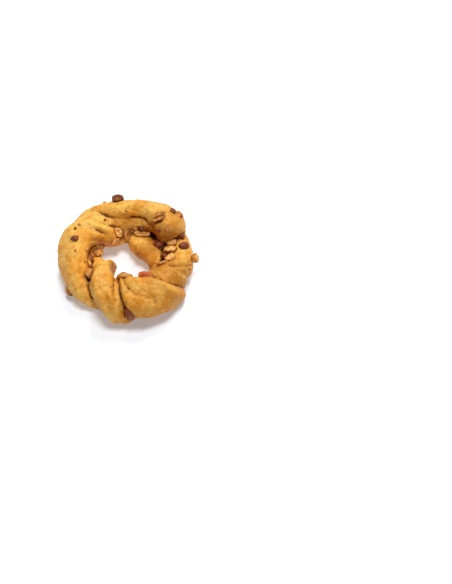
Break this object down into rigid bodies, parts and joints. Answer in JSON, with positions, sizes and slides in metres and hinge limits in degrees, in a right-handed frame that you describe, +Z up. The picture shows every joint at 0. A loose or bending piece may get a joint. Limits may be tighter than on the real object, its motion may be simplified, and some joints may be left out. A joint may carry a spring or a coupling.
{
  "type": "tarallo",
  "caption": "Baked ring biscuit of twisted dough with its end laid over the tail, studded with chopped toasted almonds.",
  "frame": {"origin": "under the middle of the ring's bounding box, on the surface that it rests on", "axes": "+Z up through the hole, +X to the right of the picture, +Y away from the camera"},
  "size_m": [0.0808, 0.0828, 0.0342],
  "materials": {
    "dough": "matte golden brown baked dough",
    "almond_01": "satin dark brown almond skin",
    "almond_02": "matte toasted almond flesh",
    "almond_03": "satin dark brown almond skin",
    "almond_04": "satin dark brown almond skin",
    "almond_05": "matte toasted almond flesh",
    "almond_06": "satin dark brown almond skin",
    "almond_07": "matte toasted almond flesh",
    "almond_08": "matte toasted almond flesh",
    "almond_09": "matte toasted almond flesh",
    "almond_10": "matte toasted almond flesh",
    "almond_11": "satin dark brown almond skin",
    "almond_12": "matte toasted almond flesh",
    "almond_13": "matte toasted almond flesh",
    "almond_14": "satin dark brown almond skin",
    "almond_15": "matte toasted almond flesh",
    "almond_16": "satin dark brown almond skin",
    "almond_17": "satin dark brown almond skin",
    "almond_18": "matte toasted almond flesh",
    "almond_19": "satin dark brown almond skin",
    "almond_20": "satin dark brown almond skin",
    "almond_21": "satin dark brown almond skin",
    "almond_22": "matte toasted almond flesh",
    "almond_23": "satin dark brown almond skin",
    "almond_24": "satin dark brown almond skin",
    "almond_25": "satin dark brown almond skin",
    "almond_26": "satin dark brown almond skin",
    "almond_27": "matte toasted almond flesh",
    "almond_28": "satin dark brown almond skin",
    "almond_29": "satin dark brown almond skin",
    "almond_30": "matte toasted almond flesh"
  },
  "bodies": {
    "root": {"dough": "dough", "almond_01": "almond_01", "almond_02": "almond_02", "almond_03": "almond_03", "almond_04": "almond_04", "almond_05": "almond_05", "almond_06": "almond_06", "almond_07": "almond_07", "almond_08": "almond_08", "almond_09": "almond_09", "almond_10": "almond_10", "almond_11": "almond_11", "almond_12": "almond_12", "almond_13": "almond_13", "almond_14": "almond_14", "almond_15": "almond_15", "almond_16": "almond_16", "almond_17": "almond_17", "almond_18": "almond_18", "almond_19": "almond_19", "almond_20": "almond_20", "almond_21": "almond_21", "almond_22": "almond_22", "almond_23": "almond_23", "almond_24": "almond_24", "almond_25": "almond_25", "almond_26": "almond_26", "almond_27": "almond_27", "almond_28": "almond_28", "almond_29": "almond_29", "almond_30": "almond_30"}
  },
  "joints": []
}
